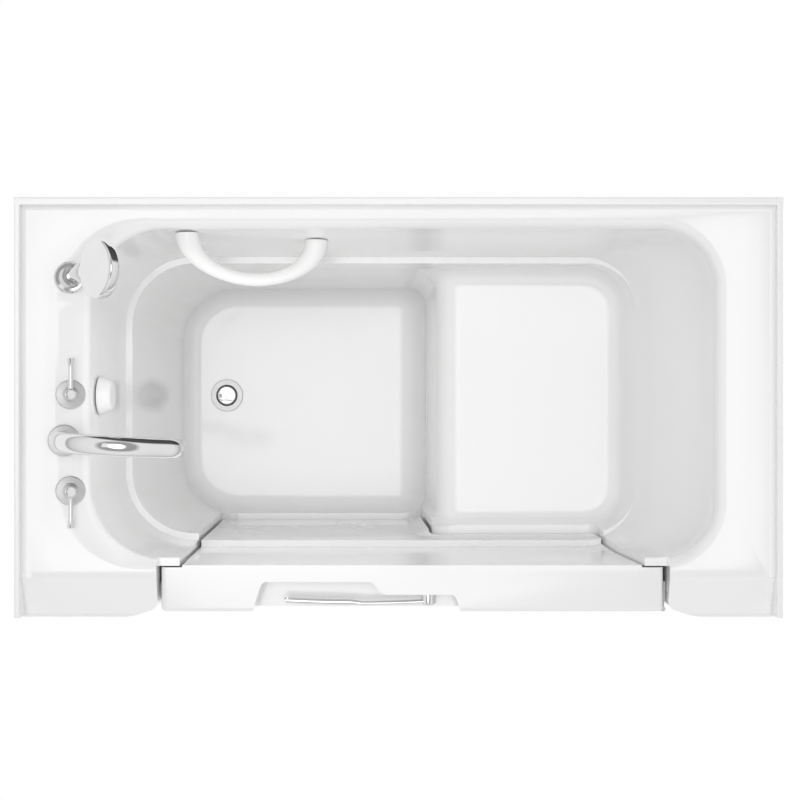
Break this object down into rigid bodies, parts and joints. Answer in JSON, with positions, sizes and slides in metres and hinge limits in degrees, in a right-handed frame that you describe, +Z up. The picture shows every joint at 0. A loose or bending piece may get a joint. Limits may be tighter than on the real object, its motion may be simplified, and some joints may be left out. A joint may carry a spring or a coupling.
{
  "type": "walk-in bathtub",
  "caption": "Alcove walk-in bathtub with a moulded seat and footwell, a sealed L-shaped front door on a side hinge, deck taps, hand shower and grab bar.",
  "frame": {"origin": "middle of the tub's footprint at the room floor", "axes": "+X along the tub from the taps to the seat, +Y from the door to the back wall, +Z up"},
  "size_m": [1.524, 0.84, 1.2289],
  "materials": {
    "gelcoat": "glossy white gelcoat",
    "white_plastic": "smooth white plastic",
    "chrome": "polished chrome plate",
    "spray_plastic": "satin grey",
    "stainless": "brushed stainless steel",
    "frame_steel": "grey powder coat",
    "zinc": "zinc plated",
    "board": "raw plywood",
    "seal": "matt rubber",
    "brass": "plain brass",
    "pipe_plastic": "plain white pipe",
    "bush": "bearing plastic"
  },
  "bodies": {
    "tub": {"tub_shell": "gelcoat", "access_panel": "gelcoat", "access_panel_screws": "zinc", "base_board": "board", "frame_rails": "frame_steel", "frame_posts": "frame_steel", "deck_bearers": "frame_steel", "seat_supports": "frame_steel", "levelling_feet": "zinc", "foot_lock_nuts": "zinc", "hinge_jamb_leaf": "stainless", "hinge_pin": "stainless", "strike_plates": "stainless", "tap_roses": "chrome", "tap_valves": "brass", "deck_nuts": "brass", "supply_pipes": "brass", "mixing_pipes": "brass", "spout_tee": "brass", "spout": "chrome", "spout_rose": "chrome", "shower_holder": "chrome", "overflow_body": "pipe_plastic", "overflow_pipe": "pipe_plastic", "waste_tee": "pipe_plastic", "waste_pipes": "pipe_plastic", "drain_cup": "pipe_plastic", "drain_flange": "chrome", "grab_bar": "white_plastic", "grab_bar_studs": "zinc", "grab_bar_nuts": "zinc"},
    "door": {"door_outer_panel": "gelcoat", "door_liner": "gelcoat", "door_gasket": "seal", "door_stiffener": "frame_steel", "hinge_door_leaf": "stainless", "spindle_bush": "bush", "latch_guides": "bush"},
    "latch_lever": {"latch_handle": "chrome", "latch_spindle": "stainless", "latch_pinion": "brass"},
    "latch_slide": {"latch_bar": "stainless", "latch_bolts": "stainless"},
    "hot_tap": {"hot_lever": "chrome"},
    "cold_tap": {"cold_lever": "chrome"},
    "hand_shower": {"shower_handle": "chrome", "shower_head": "chrome", "shower_spray_face": "spray_plastic"},
    "overflow_dial": {"overflow_knob": "white_plastic"},
    "stopper": {"drain_stopper": "chrome"}
  },
  "joints": [
    {"name": "door_swing", "type": "hinge", "parent": "tub", "child": "door", "pos_m": [0.538, -0.407, 0.719], "axis": [0, 0, 1], "range_deg": [0, 110]},
    {"name": "handle_lift", "type": "hinge", "parent": "door", "child": "latch_lever", "pos_m": [0.061, -0.3663, 0.887], "axis": [0, 1, 0], "range_deg": [0, 90]},
    {"name": "bolt_throw", "type": "slide", "parent": "door", "child": "latch_slide", "axis": [-1, 0, 0], "range_m": [0, 0.02356]},
    {"name": "hot_turn", "type": "hinge", "parent": "tub", "child": "hot_tap", "pos_m": [-0.6545, 0.029, 0.95862], "axis": [-0.2079, 0, -0.9781], "range_deg": [0, 90]},
    {"name": "cold_turn", "type": "hinge", "parent": "tub", "child": "cold_tap", "pos_m": [-0.6545, -0.163, 0.95862], "axis": [0.2079, 0, 0.9781], "range_deg": [0, 90]},
    {"name": "shower_lift", "type": "slide", "parent": "tub", "child": "hand_shower", "axis": [0.2924, 0, 0.9563], "range_m": [0, 0.12]},
    {"name": "overflow_turn", "type": "hinge", "parent": "tub", "child": "overflow_dial", "pos_m": [-0.61494, 0.027, 0.868], "axis": [0.9987, 0, 0.0519], "range_deg": [0, 90]},
    {"name": "stopper_lift", "type": "slide", "parent": "tub", "child": "stopper", "axis": [0, 0, 1], "range_m": [0, 0.01]}
  ],
  "couplings": [
    {"joint": "bolt_throw", "follows": "handle_lift", "m_per_rad": 0.015},
    {"joint": "stopper_lift", "follows": "overflow_turn", "m_per_rad": 0.006366}
  ]
}
